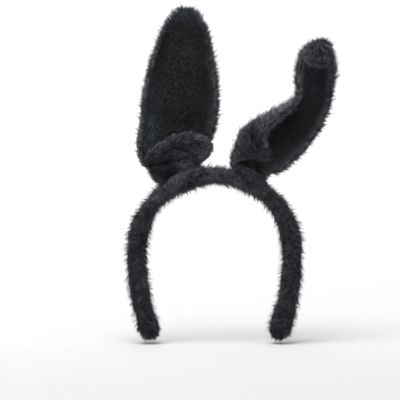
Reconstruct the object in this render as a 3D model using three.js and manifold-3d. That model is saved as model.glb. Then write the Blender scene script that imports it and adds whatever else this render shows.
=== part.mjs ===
// Animal ears headband: a sprung plastic band in a fur sleeve, with two wired fur ears.
// Millimetres, +Z up, -Y towards the front of the wearer, +X to the viewer's right.
// The origin is the crown point of the band's inner side, where it rests on the head.

import * as THREE from "three";
import { mergeVertices } from "three/addons/utils/BufferGeometryUtils.js";
import Module from "manifold-3d";

// ---- Driving dimensions ----

const BAND_RADIUS = 65.3; // centre line of the band's upper half
const LIMB_RADIUS = 205; // gentler curve of each limb below the widest point
const LIMB_LENGTH = 73; // from the widest point down to the tip
const SLEEVE = { halfWidth: 11, halfThickness: 7.1 }; // fur tube, pile included
const CORE = { halfWidth: 5, halfThickness: 1, chamfer: 0.4 }; // moulded strip inside
const CLEARANCE = 0.3; // air between neighbouring pieces

const FLEX_ANGLE = 52; // degrees down from the crown to each sprung hinge line
const FLEX_GAP = 1.2; // half the cut at a hinge line, so that the arms can open
const TUCK_LENGTH = 11; // folded and closed end of the sleeve
const TUCK_TIP_SCALE = 0.3; // size of the tuck's last section
const STITCH_WIDTH = 1; // thread ring that closes the tuck
const STITCH_OUTER = { across: 2, outward: 1.5 }; // thread ring's outside, in from the pile
const STITCH_INNER = { across: 4, outward: 3 }; // thread ring's inside, in from the pile

const WIRE_RADIUS = 0.6; // annealed steel wire inside the ears
const WINDING_TURNS = 3.5; // wire wound round the core at each ear
const WINDING_PITCH = 2.5;
const WINDING_SQUARENESS = 3; // how closely the turns follow the flat strip
const WINDING_SLACK = { across: 0.5, outward: 0.3 }; // air that the turns need at the strip's corners
const WIRE_STAND = [0.35, 0.6, 1]; // shares of the wire's climb from the winding to the ear
const TAPE_THICKNESS = 0.4; // cloth tape over the winding
const SEAM_STRIP = { halfWidth: 2.6, halfThickness: 0.4, chamfer: 0.15 }; // sleeve's inner seam allowance

const PILE = 5.5; // backing and pile of one ear panel
const PANEL_GAP = 1.2; // half the air between an ear's front and back panel
const RIM_THICKNESS = 0.6; // each panel at the very edge of the pile
const WIRE_INSET = 5.5; // wire, in from the edge of the pile
const SEAM_INSET = 3.8; // edge seam, in from the edge of the pile
const SEAM_RADIUS = 0.4;
const TIP_ROUNDING = 0.8; // share of the ear's length where its tip starts to round
const PIVOT_LIFT = 1.5; // base hinge, above the sleeve's surface
const GROOVE = { from: 0.062, to: 0.092, pile: 1.6, inset: 8 }; // waist for the neck binding
const BINDING = { near: 0.5, far: 2.1, bulge: 0.7, endShare: 0.6 }; // thread binding, out from the waist
const FOLD_GAP = 0.6; // half the air at an ear's fold line
const PAST_FOLD = 0.02; // share of length that wire and thread run past the fold before they are cut
const NECK_GAP = 0.5; // air under an ear's neck at its base hinge

// Each ear: its place on the band in degrees from the crown, the line up its middle,
// [share of length, value] pairs for its half width and for how far its rims come forward,
// the ranges of its base hinge, and the hinge line across it.
const LEFT_EAR = {
  name: "left",
  bandAngle: -27,
  spine: [
    [-35.2, 1, 21],
    [-33.4, 2, 37],
    [-30.5, 3, 58],
    [-28, 3, 84],
    [-26.2, 2, 110],
    [-24.8, 0, 149.5],
  ],
  halfWidth: [[0, 17], [0.1, 26], [0.2, 31], [0.35, 32.7], [0.52, 31.7], [0.7, 27], [0.82, 21.5], [1, 12]],
  cup: [[0, 3], [0.2, 7], [0.4, 10], [0.7, 9], [1, 3]],
  lean: { left: 25, right: 5 },
  fold: { at: 0.46, about: "across", plus: 90, minus: 30 },
};

const RIGHT_EAR = {
  name: "right",
  bandAngle: 22.2,
  spine: [
    [40, 2, 25],
    [59.6, 4, 45.8],
    [75, 4, 61.5],
    [82.3, 3, 76],
    [85, 1, 94],
    [87.2, -3, 120],
  ],
  halfWidth: [[0, 15], [0.15, 23], [0.39, 23.4], [0.6, 17], [0.74, 16.3], [0.86, 17.5], [1, 20]],
  cup: [[0, 4], [0.2, 10], [0.45, 14], [0.65, 13], [0.85, 9], [1, 5]],
  lean: { left: 25, right: 20 },
  fold: { at: 0.56, about: "front", plus: 40, minus: 35 },
};

// ---- Materials ----

const fur = new THREE.MeshStandardMaterial({ color: 0x1b1c1f, roughness: 0.95, metalness: 0 });
const moulding = new THREE.MeshStandardMaterial({ color: 0x141414, roughness: 0.45, metalness: 0 });
const steel = new THREE.MeshStandardMaterial({ color: 0x8f9194, roughness: 0.35, metalness: 1 });
const thread = new THREE.MeshStandardMaterial({ color: 0x0f0f10, roughness: 0.9, metalness: 0 });
const tape = new THREE.MeshStandardMaterial({ color: 0x202022, roughness: 0.85, metalness: 0 });

// ---- Booleans and lofts ----

const wasm = await Module();
wasm.setup();

function toSolid(geometry) {
  const bare = geometry.clone();
  bare.deleteAttribute("normal");
  bare.deleteAttribute("uv");
  const merged = mergeVertices(bare, 1e-4);
  return new wasm.Manifold(
    new wasm.Mesh({
      numProp: 3,
      vertProperties: new Float32Array(merged.attributes.position.array),
      triVerts: new Uint32Array(merged.index.array),
    }),
  );
}

function toGeometry(solid) {
  const mesh = solid.getMesh();
  const geometry = new THREE.BufferGeometry();
  geometry.setAttribute("position", new THREE.BufferAttribute(mesh.vertProperties, 3));
  geometry.setIndex(new THREE.BufferAttribute(mesh.triVerts, 1));
  geometry.computeVertexNormals();
  return geometry;
}

function cut(geometry, ...tools) {
  const rest = tools.reduce((solid, tool) => solid.subtract(toSolid(tool)), toSolid(geometry));
  return toGeometry(rest);
}

/** A closed body through rings of points, whichever way round the rings run. */
function loft(givenRings) {
  const ahead = ringCentre(givenRings[1]).sub(ringCentre(givenRings[0]));
  const backwards = ringNormal(givenRings[0]).dot(ahead) < 0;
  const rings = backwards ? givenRings.map((ring) => ring.toReversed()) : givenRings;
  const size = rings[0].length;
  const top = (rings.length - 1) * size;
  const triangles = [];
  for (let row = 0; row < top; row += size) {
    for (let i = 0; i < size; i += 1) {
      const [a, b] = [row + i, row + ((i + 1) % size)];
      triangles.push(a, b, b + size, a, b + size, a + size);
    }
  }
  for (const [i, j, k] of capTriangles(rings[0])) triangles.push(k, j, i);
  for (const [i, j, k] of capTriangles(rings.at(-1))) triangles.push(top + i, top + j, top + k);
  const geometry = new THREE.BufferGeometry().setFromPoints(rings.flat());
  geometry.setIndex(triangles);
  geometry.computeVertexNormals();
  return geometry;
}

function ringCentre(ring) {
  return ring.reduce((sum, point) => sum.add(point), new THREE.Vector3()).divideScalar(ring.length);
}

function ringNormal(ring) {
  const normal = new THREE.Vector3();
  ring.forEach((point, i) => normal.add(point.clone().cross(ring[(i + 1) % ring.length])));
  return normal.normalize();
}

/** Triangles over one ring, worked out in the ring's own plane. */
function capTriangles(ring) {
  const turn = new THREE.Quaternion().setFromUnitVectors(ringNormal(ring), new THREE.Vector3(0, 0, 1));
  const turned = ring.map((point) => point.clone().applyQuaternion(turn));
  return THREE.ShapeUtils.triangulateShape(turned.map(({ x, y }) => new THREE.Vector2(x, y)), []);
}

/** Smooth value at t through [t, value] pairs. */
function profile(pairs, t) {
  const last = pairs.length - 1;
  const slope = (i) => {
    const [before, after] = [pairs[Math.max(i - 1, 0)], pairs[Math.min(i + 1, last)]];
    return (after[1] - before[1]) / (after[0] - before[0]);
  };
  const passed = pairs.filter(([at]) => at <= t).length;
  const next = THREE.MathUtils.clamp(passed, 1, last);
  const [[t0, v0], [t1, v1]] = [pairs[next - 1], pairs[next]];
  const x = (t - t0) / (t1 - t0);
  const y = 1 - x;
  const bend = y * slope(next - 1) - x * slope(next);
  return v0 * y * y * (1 + 2 * x) + v1 * x * x * (1 + 2 * y) + x * y * (t1 - t0) * bend;
}

// ---- The band's line ----

const QUARTER = (BAND_RADIUS * Math.PI) / 2;
const BAND_END = QUARTER + LIMB_LENGTH;
const ARC_CENTRE_Z = SLEEVE.halfThickness - BAND_RADIUS;
const FLEX_S = BAND_RADIUS * THREE.MathUtils.degToRad(FLEX_ANGLE);

/** Centre and outward direction at s millimetres along the band from the crown, +X side positive. */
function bandFrame(s) {
  const along = Math.abs(s);
  const side = s < 0 ? -1 : 1;
  const upper = along <= QUARTER;
  const angle = upper ? along / BAND_RADIUS : (along - QUARTER) / LIMB_RADIUS;
  const out = upper
    ? new THREE.Vector3(Math.sin(angle), 0, Math.cos(angle))
    : new THREE.Vector3(Math.cos(angle), 0, -Math.sin(angle));
  const centre = out.clone().multiplyScalar(upper ? BAND_RADIUS : LIMB_RADIUS);
  centre.add(new THREE.Vector3(upper ? 0 : BAND_RADIUS - LIMB_RADIUS, 0, ARC_CENTRE_Z));
  out.x *= side;
  centre.x *= side;
  return { centre, out };
}

function bandPoint(s, across, outward) {
  const { centre, out } = bandFrame(s);
  const point = centre.addScaledVector(out, outward);
  point.y = across;
  return point;
}

class BandLine extends THREE.Curve {
  constructor(from, to, outward = 0) {
    super();
    Object.assign(this, { from, to, outward });
  }

  getPoint(t) {
    return bandPoint(THREE.MathUtils.lerp(this.from, this.to, t), 0, this.outward);
  }
}

const BAND_STEP = 8; // millimetres of band for each step of a tube

function bandTube(shape, from, to, outward = 0) {
  const steps = Math.max(2, Math.ceil(Math.abs(to - from) / BAND_STEP));
  const extrudePath = new BandLine(from, to, outward);
  return new THREE.ExtrudeGeometry(shape, { steps, extrudePath });
}

/** Outline whose x runs across the band and whose y runs outward. */
function ellipseOutline(halfWidth, halfThickness, sides) {
  const points = [];
  for (let i = 0; i < sides; i += 1) {
    const angle = (2 * Math.PI * i) / sides;
    points.push(new THREE.Vector2(halfWidth * Math.cos(angle), halfThickness * Math.sin(angle)));
  }
  return points;
}

function stripOutline(halfWidth, halfThickness, chamfer) {
  const [w, h, c] = [halfWidth, halfThickness, chamfer];
  const half = [[w, c - h], [w, h - c], [w - c, h], [c - w, h]];
  const otherHalf = half.map(([x, y]) => [-x, -y]);
  return [...half, ...otherHalf].map(([x, y]) => new THREE.Vector2(x, y));
}

function hollowShape(outer, inner) {
  const shape = new THREE.Shape(outer);
  shape.holes.push(new THREE.Path(inner));
  return shape;
}

// ---- Core, sleeve and what lies between them ----

const COIL = {
  halfWidth: CORE.halfWidth + CLEARANCE + WIRE_RADIUS + WINDING_SLACK.across,
  halfThickness: CORE.halfThickness + CLEARANCE + WIRE_RADIUS + WINDING_SLACK.outward,
};
const TAPE_BORE = {
  halfWidth: COIL.halfWidth + WIRE_RADIUS + CLEARANCE,
  halfThickness: COIL.halfThickness + WIRE_RADIUS + CLEARANCE,
  chamfer: 1.4,
};
const CROWN_SEAM_OUT = -(TAPE_BORE.halfThickness + TAPE_THICKNESS + CLEARANCE + SEAM_STRIP.halfThickness);
const ARM_SEAM_OUT = -(CORE.halfThickness + CLEARANCE + SEAM_STRIP.halfThickness);
const CROWN_CAVITY = {
  halfWidth: TAPE_BORE.halfWidth + TAPE_THICKNESS + CLEARANCE,
  halfThickness: SEAM_STRIP.halfThickness + CLEARANCE - CROWN_SEAM_OUT,
  chamfer: 2.6,
};
const ARM_CAVITY = {
  halfWidth: CORE.halfWidth + CLEARANCE,
  halfThickness: SEAM_STRIP.halfThickness + CLEARANCE - ARM_SEAM_OUT,
  chamfer: 0.3,
};
const SLEEVE_SIDES = 12;

function coreStrip(from, to) {
  const outline = stripOutline(CORE.halfWidth, CORE.halfThickness, CORE.chamfer);
  return bandTube(new THREE.Shape(outline), from, to);
}

function sleeveTube(cavity, from, to) {
  const outer = ellipseOutline(SLEEVE.halfWidth, SLEEVE.halfThickness, SLEEVE_SIDES);
  const inner = stripOutline(cavity.halfWidth, cavity.halfThickness, cavity.chamfer);
  return bandTube(hollowShape(outer, inner), from, to);
}

function seamStrip(from, to, outward) {
  const outline = stripOutline(SEAM_STRIP.halfWidth, SEAM_STRIP.halfThickness, SEAM_STRIP.chamfer);
  return bandTube(new THREE.Shape(outline), from, to, outward);
}

/** Hole through the sleeve, where an ear's wire comes out. */
function wireExit(s) {
  const radius = WIRE_RADIUS + 2 * CLEARANCE;
  const length = 2 * SLEEVE.halfThickness;
  const hole = new THREE.CylinderGeometry(radius, radius, length, 8);
  const { out } = bandFrame(s);
  hole.applyQuaternion(new THREE.Quaternion().setFromUnitVectors(new THREE.Vector3(0, 1, 0), out));
  return hole.translate(...bandPoint(s, 0, SLEEVE.halfThickness + CLEARANCE).toArray());
}

/** Wire wound round the core, with its end standing up through the sleeve at s. */
function wireWinding(s) {
  const points = [];
  const perTurn = 8;
  const count = perTurn * WINDING_TURNS;
  const root = (value) => Math.sign(value) * Math.abs(value) ** (1 / WINDING_SQUARENESS);
  const coilEnd = s - Math.sign(s) * WINDING_PITCH;
  for (let i = 0; i <= count; i += 1) {
    const angle = Math.PI / 2 + (2 * Math.PI * (count - i)) / perTurn;
    const along = coilEnd - (Math.sign(s) * WINDING_PITCH * (count - i)) / perTurn;
    const across = COIL.halfWidth * root(Math.cos(angle));
    points.push(bandPoint(along, across, COIL.halfThickness * root(Math.sin(angle))));
  }
  const tall = SLEEVE.halfThickness + PIVOT_LIFT - 2 * CLEARANCE;
  for (const share of WIRE_STAND) {
    points.push(bandPoint(s, 0, COIL.halfThickness + share * (tall - COIL.halfThickness)));
  }
  const extrudePath = new THREE.CatmullRomCurve3(points, false, "centripetal");
  return new THREE.ExtrudeGeometry(roundShape(WIRE_RADIUS, 6), { steps: count + 6, extrudePath });
}

function roundShape(radius, sides) {
  return new THREE.Shape(ellipseOutline(radius, radius, sides));
}

function windingTape(s) {
  const side = Math.sign(s);
  const nearEnd = s - side * (WINDING_PITCH + WIRE_RADIUS);
  const farEnd = s - side * (WINDING_PITCH * (WINDING_TURNS + 1) + WIRE_RADIUS + CLEARANCE);
  const { halfWidth, halfThickness, chamfer } = TAPE_BORE;
  const outer = stripOutline(halfWidth + TAPE_THICKNESS, halfThickness + TAPE_THICKNESS, chamfer + 0.2);
  return bandTube(hollowShape(outer, stripOutline(halfWidth, halfThickness, chamfer)), farEnd, nearEnd);
}

/** Folded end of the sleeve, a dome on the band's line. */
function endTuck(side) {
  const start = BAND_END - TUCK_LENGTH;
  const rings = [];
  for (const share of [0, 0.3, 0.55, 0.75, 0.9, 1]) {
    const scale = Math.max(Math.sqrt(1 - share ** 2), TUCK_TIP_SCALE);
    const outline = ellipseOutline(SLEEVE.halfWidth * scale, SLEEVE.halfThickness * scale, SLEEVE_SIDES);
    const ring = outline.map(({ x, y }) => bandPoint(side * (start + share * TUCK_LENGTH), x, y));
    rings.push(side < 0 ? ring : ring.reverse());
  }
  return loft(rings);
}

function endStitching(side) {
  const start = BAND_END - TUCK_LENGTH - CLEARANCE - STITCH_WIDTH;
  const { halfWidth, halfThickness } = SLEEVE;
  const [outer, inner] = [STITCH_OUTER, STITCH_INNER].map(({ across, outward }) =>
    ellipseOutline(halfWidth - across, halfThickness - outward, SLEEVE_SIDES),
  );
  return bandTube(hollowShape(outer, inner), side * start, side * (start + STITCH_WIDTH));
}

// ---- Ears ----

function earPivot(ear) {
  const s = BAND_RADIUS * THREE.MathUtils.degToRad(ear.bandAngle);
  return { s, at: bandPoint(s, 0, SLEEVE.halfThickness + PIVOT_LIFT), out: bandFrame(s).out };
}

for (const ear of [LEFT_EAR, RIGHT_EAR]) {
  const points = [earPivot(ear).at, ...ear.spine.map((point) => new THREE.Vector3(...point))];
  ear.line = new THREE.CatmullRomCurve3(points, false, "centripetal");
}

/** Place and directions on an ear: up its line, across it to the viewer's right, and to the front. */
function earFrame(ear, t) {
  const up = ear.line.getTangentAt(t);
  const across = new THREE.Vector3().crossVectors(up, new THREE.Vector3(0, -1, 0)).normalize();
  const front = new THREE.Vector3().crossVectors(across, up);
  return { at: ear.line.getPointAt(t), up, across, front };
}

function tipScale(t) {
  const past = Math.max(0, (t - TIP_ROUNDING) / (1 - TIP_ROUNDING));
  return Math.sqrt(Math.max(0, 1 - past ** 2));
}

function inGroove(t) {
  return t >= GROOVE.from && t <= GROOVE.to;
}

/** The ear's section at t: an arc with its radius and half its length. */
function earSection(ear, t) {
  const halfWidth = Math.max(profile(ear.halfWidth, t) * tipScale(t), 1);
  const cup = Math.max(profile(ear.cup, t) * tipScale(t), 0.5);
  const radius = (halfWidth ** 2 + cup ** 2) / (2 * cup);
  const waist = inGroove(t) ? GROOVE.inset : 0;
  return { radius, halfArc: radius * 2 * Math.atan2(cup, halfWidth) - waist };
}

/** Point at t up the ear, arc millimetres across its middle layer and lift towards the front. */
function earPoint(ear, t, arc, lift) {
  const { at, across, front } = earFrame(ear, t);
  const { radius } = earSection(ear, t);
  const reach = radius - lift;
  return at
    .addScaledVector(across, reach * Math.sin(arc / radius))
    .addScaledVector(front, radius - reach * Math.cos(arc / radius));
}

// Heights of a panel's sections: its neck with the waist, then closer and closer towards the tip.
const PANEL_NECK = [0.004, GROOVE.from - 0.007, GROOVE.from, GROOVE.to, GROOVE.to + 0.008, 0.15];
const PANEL_BLADE = [0.22, 0.3, 0.39, 0.48, 0.57, 0.66, 0.74, 0.82, 0.88, 0.93, 0.97, 0.995];
const PANEL_COLUMNS = 10;

/** One fur panel of an ear; side is 1 for the front and -1 for the back. */
function earPanel(ear, side) {
  const rings = [...PANEL_NECK, ...PANEL_BLADE].map((t) => {
    const { halfArc } = earSection(ear, t);
    const pile = (inGroove(t) ? GROOVE.pile : PILE) * Math.max(tipScale(t), 0.3);
    const inner = [];
    const outer = [];
    for (let i = 0; i <= PANEL_COLUMNS; i += 1) {
      const share = (2 * i) / PANEL_COLUMNS - 1;
      const thick = Math.max(RIM_THICKNESS, pile * Math.sqrt(1 - share ** 4));
      inner.push(earPoint(ear, t, share * halfArc, side * PANEL_GAP));
      outer.push(earPoint(ear, t, share * halfArc, side * (PANEL_GAP + thick)));
    }
    return side > 0 ? [...outer, ...inner.reverse()] : [...inner, ...outer.reverse()];
  });
  return loft(rings);
}

/** A tube of wire or thread through [t, arc] places on the ear's middle layer. */
function earTube(ear, places, radius, sides, steps) {
  const points = places.map(([t, arc]) => earPoint(ear, t, arc, 0));
  const extrudePath = new THREE.CatmullRomCurve3(points, false, "centripetal");
  return new THREE.ExtrudeGeometry(roundShape(radius, sides), { steps, extrudePath });
}

/** Places along one edge of the ear between two heights, inset from the edge of the pile. */
function edgePlaces(ear, side, from, to, inset, count = 6) {
  const places = [];
  for (let i = 0; i <= count; i += 1) {
    const t = THREE.MathUtils.lerp(from, to, i / count);
    places.push([t, side * (earSection(ear, t).halfArc - inset)]);
  }
  return places;
}

/** Share of the ear's length that a line inset from its edge reaches at the tip. */
function tipOfInset(ear, inset) {
  let t = 1 - inset / ear.line.getLength();
  while (earSection(ear, t).halfArc < inset + 1) t -= 0.002;
  return t;
}

// Places of the ear's wire in its neck: share of length, and millimetres to either side.
const WIRE_IN_NECK = [[0.014, 0], [0.024, 1.4], [0.05, 2.3], [0.085, 3.5]];
// Above the neck the wire flares out to the ear's edge: share of length, and share of the way.
const WIRE_FLARE = [[0.1, 0.3], [0.12, 0.53], [0.14, 0.76]];

/** The wire from one side of the fold down through the neck and up the other side. */
function lowerWire(ear) {
  const right = edgePlaces(ear, 1, 0.16, ear.fold.at + PAST_FOLD, WIRE_INSET);
  const flare = WIRE_FLARE.map(([t, share]) => [t, share * right[0][1]]);
  const half = [...WIRE_IN_NECK, ...flare, ...right];
  const mirrored = half.slice(1).map(([t, arc]) => [t, -arc]).reverse();
  return earTube(ear, [...mirrored, ...half], WIRE_RADIUS, 6, 30);
}

/** Wire or thread from one side of the fold, over the ear's tip and down to the other side. */
function overTip(ear, inset, radius) {
  const tip = tipOfInset(ear, inset);
  const right = edgePlaces(ear, 1, ear.fold.at - PAST_FOLD, tip - 0.03, inset);
  const half = [...right, ...edgePlaces(ear, 1, tip - 0.015, tip, inset, 1)];
  const mirrored = half.map(([t, arc]) => [t, -arc]).reverse();
  return earTube(ear, [...half, [tip, 0], ...mirrored], radius, 6, 26);
}

function lowerEdgeSeam(ear, side) {
  const places = edgePlaces(ear, side, 0.13, ear.fold.at + PAST_FOLD, SEAM_INSET);
  return earTube(ear, places, SEAM_RADIUS, 6, 10);
}

/** Thread wound round the ear's gathered neck, in the waist of the two panels. */
function neckBinding(ear) {
  const surface = PANEL_GAP + GROOVE.pile;
  const { halfArc } = earSection(ear, GROOVE.to);
  const outline = (t, lift) => {
    const ring = [];
    for (const side of [1, -1]) {
      const end = side * (halfArc + BINDING.bulge * (lift - PANEL_GAP));
      const corner = BINDING.endShare * lift;
      for (let i = -4; i <= 4; i += 1) ring.push([(side * i * halfArc) / 4, side * lift]);
      ring.push([end, side * corner], [end, -side * corner]);
    }
    return ring.map(([arc, height]) => earPoint(ear, t, arc, height));
  };
  const plug = (lift, from, to) => loft([outline(from, lift), outline(to, lift)]);
  const margin = 0.004;
  const [low, high] = [GROOVE.from + margin, GROOVE.to - margin];
  const bore = plug(surface + BINDING.near, low - 2 * margin, high + 2 * margin);
  return cut(plug(surface + BINDING.far, low, high), bore);
}

/** A body to cut with: everything past two planes that meet in a hinge line, a gap below the given
 *  point, and fall away from it by the given degrees on the side's own side and on the other. */
function wedge(at, up, side, { plus, minus }, gap) {
  const reach = 100;
  const fall = (degrees) => -gap - reach * Math.tan(THREE.MathUtils.degToRad(degrees));
  const hinge = [[-reach, fall(minus)], [0, -gap], [reach, fall(plus)]];
  const corners = [...hinge, [reach, 3 * reach], [-reach, 3 * reach]];
  const outline = new THREE.Shape(corners.map(([x, y]) => new THREE.Vector2(x, y)));
  const body = new THREE.ExtrudeGeometry(outline, { depth: 2 * reach, bevelEnabled: false });
  body.translate(0, 0, -reach);
  const axis = new THREE.Vector3().crossVectors(side, up);
  return body.applyMatrix4(new THREE.Matrix4().makeBasis(side, up, axis).setPosition(at));
}

/** The fold's hinge line runs through the two wires, across the ear or straight through it. */
function foldLine(ear) {
  const { at: t, about } = ear.fold;
  const arc = earSection(ear, t).halfArc - WIRE_INSET;
  const at = earPoint(ear, t, arc, 0).lerp(earPoint(ear, t, -arc, 0), 0.5);
  const { up, across, front } = earFrame(ear, t);
  return { at, up, side: about === "across" ? front : across };
}

/** The two bodies to cut away, so that only the lower or only the upper part of an ear is left. */
function earCutters(ear) {
  const { at, up, side } = foldLine(ear);
  const half = { plus: ear.fold.plus / 2, minus: ear.fold.minus / 2 };
  const pivot = earPivot(ear);
  const tangent = new THREE.Vector3(0, 1, 0).cross(pivot.out);
  const lean = { plus: ear.lean.right, minus: ear.lean.left };
  return {
    aboveFold: wedge(at, up, side, half, FOLD_GAP),
    belowFold: wedge(at, up.clone().negate(), side, half, FOLD_GAP),
    belowNeck: wedge(pivot.at, pivot.out.clone().negate(), tangent, lean, NECK_GAP),
  };
}

// ---- The assembly ----

const headband = new THREE.Group();

function add(name, geometry, material) {
  const mesh = new THREE.Mesh(geometry, material);
  mesh.name = name;
  headband.add(mesh);
}

function addCrown() {
  const end = FLEX_S - FLEX_GAP;
  const exits = [LEFT_EAR, RIGHT_EAR].map((ear) => wireExit(earPivot(ear).s));
  add("crown_core", coreStrip(-end, end), moulding);
  add("crown_sleeve", cut(sleeveTube(CROWN_CAVITY, -end, end), ...exits), fur);
  add("crown_sleeve_seam", seamStrip(-end, end, CROWN_SEAM_OUT), thread);
}

function addArm(name, side) {
  const start = side * (FLEX_S + FLEX_GAP);
  const sleeveEnd = side * (BAND_END - TUCK_LENGTH - STITCH_WIDTH - 2 * CLEARANCE);
  const coreEnd = sleeveEnd - side * CLEARANCE;
  add(`${name}_arm_core`, coreStrip(start, coreEnd), moulding);
  add(`${name}_arm_sleeve`, sleeveTube(ARM_CAVITY, start, sleeveEnd), fur);
  add(`${name}_arm_sleeve_seam`, seamStrip(start, coreEnd, ARM_SEAM_OUT), thread);
  add(`${name}_end_stitching`, endStitching(side), thread);
  add(`${name}_end_tuck`, endTuck(side), fur);
}

function addEar(ear) {
  const { name } = ear;
  const { s } = earPivot(ear);
  const { aboveFold, belowFold, belowNeck } = earCutters(ear);
  add(`${name}_wire_winding`, wireWinding(s), steel);
  add(`${name}_winding_tape`, windingTape(s), tape);
  add(`${name}_neck_binding`, neckBinding(ear), thread);
  for (const [panel, side] of [["front", 1], ["back", -1]]) {
    const whole = earPanel(ear, side);
    add(`${name}_ear_${panel}_lower`, cut(whole, aboveFold, belowNeck), fur);
    add(`${name}_ear_${panel}_upper`, cut(whole, belowFold), fur);
  }
  add(`${name}_ear_wire_lower`, cut(lowerWire(ear), aboveFold), steel);
  add(`${name}_ear_wire_upper`, cut(overTip(ear, WIRE_INSET, WIRE_RADIUS), belowFold), steel);
  add(`${name}_ear_outer_seam_lower`, cut(lowerEdgeSeam(ear, Math.sign(s)), aboveFold), thread);
  add(`${name}_ear_inner_seam_lower`, cut(lowerEdgeSeam(ear, -Math.sign(s)), aboveFold), thread);
  add(`${name}_ear_seam_upper`, cut(overTip(ear, SEAM_INSET, SEAM_RADIUS), belowFold), thread);
}

addCrown();
addArm("left", -1);
addArm("right", 1);
addEar(LEFT_EAR);
addEar(RIGHT_EAR);

export default headband;
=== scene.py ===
"""Looks of the animal ears headband: black faux fur over a sprung band and two wired rabbit ears.

Lengths are in millimetres in this script's own tables and turned to metres when a mesh is made.
+Z is up, -Y is the wearer's front, and the origin is the crown point of the band's inner side.
"""

import math
from functools import cache

import bpy
import numpy as np
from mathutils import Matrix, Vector, kdtree


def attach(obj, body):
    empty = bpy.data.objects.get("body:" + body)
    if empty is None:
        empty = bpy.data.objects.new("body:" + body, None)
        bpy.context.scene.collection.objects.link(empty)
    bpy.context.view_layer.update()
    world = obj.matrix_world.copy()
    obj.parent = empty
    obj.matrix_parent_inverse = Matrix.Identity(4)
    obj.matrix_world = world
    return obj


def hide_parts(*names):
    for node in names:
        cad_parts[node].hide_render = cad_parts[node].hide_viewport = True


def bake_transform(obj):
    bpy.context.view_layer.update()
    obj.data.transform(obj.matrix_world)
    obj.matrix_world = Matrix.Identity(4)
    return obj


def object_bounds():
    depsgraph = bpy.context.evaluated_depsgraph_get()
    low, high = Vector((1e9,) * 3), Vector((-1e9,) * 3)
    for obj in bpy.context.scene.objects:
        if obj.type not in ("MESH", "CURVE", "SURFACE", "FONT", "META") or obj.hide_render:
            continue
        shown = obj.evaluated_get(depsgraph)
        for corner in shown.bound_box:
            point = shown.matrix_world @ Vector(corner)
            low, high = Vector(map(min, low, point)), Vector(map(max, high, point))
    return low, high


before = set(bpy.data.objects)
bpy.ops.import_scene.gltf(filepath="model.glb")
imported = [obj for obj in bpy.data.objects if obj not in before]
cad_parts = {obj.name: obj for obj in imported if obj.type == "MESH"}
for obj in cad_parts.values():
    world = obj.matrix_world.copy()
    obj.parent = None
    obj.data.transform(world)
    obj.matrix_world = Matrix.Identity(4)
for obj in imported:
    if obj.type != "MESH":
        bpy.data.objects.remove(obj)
cad_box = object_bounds()

MM = 0.001
SEED = 1727

# ---- The band, as in the CAD model ----

BAND_RADIUS = 65.3
LIMB_RADIUS = 205.0
LIMB_LENGTH = 73.0
SLEEVE_HALF_THICKNESS = 7.1
PIVOT_LIFT = 1.5

QUARTER = BAND_RADIUS * math.pi / 2
BAND_END = QUARTER + LIMB_LENGTH
ARC_CENTRE_Z = SLEEVE_HALF_THICKNESS - BAND_RADIUS

# ---- The ears ----
# Each ear is drawn round a spine that runs up it from the base hinge. The rest are (share of length,
# value): width from the spine to the tips of the pile on either side, curl as how far each rim turns
# forward in degrees, bias as how late on the way to the rim the curl sets in, and depth as how much of
# the curl's own depth is kept. The crease is ((start, end), width), seen from the front, where shade
# is painted on the fur.

PILE_REACH = 4.6  # how far the pile stands out past the backing, seen from the front

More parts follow.
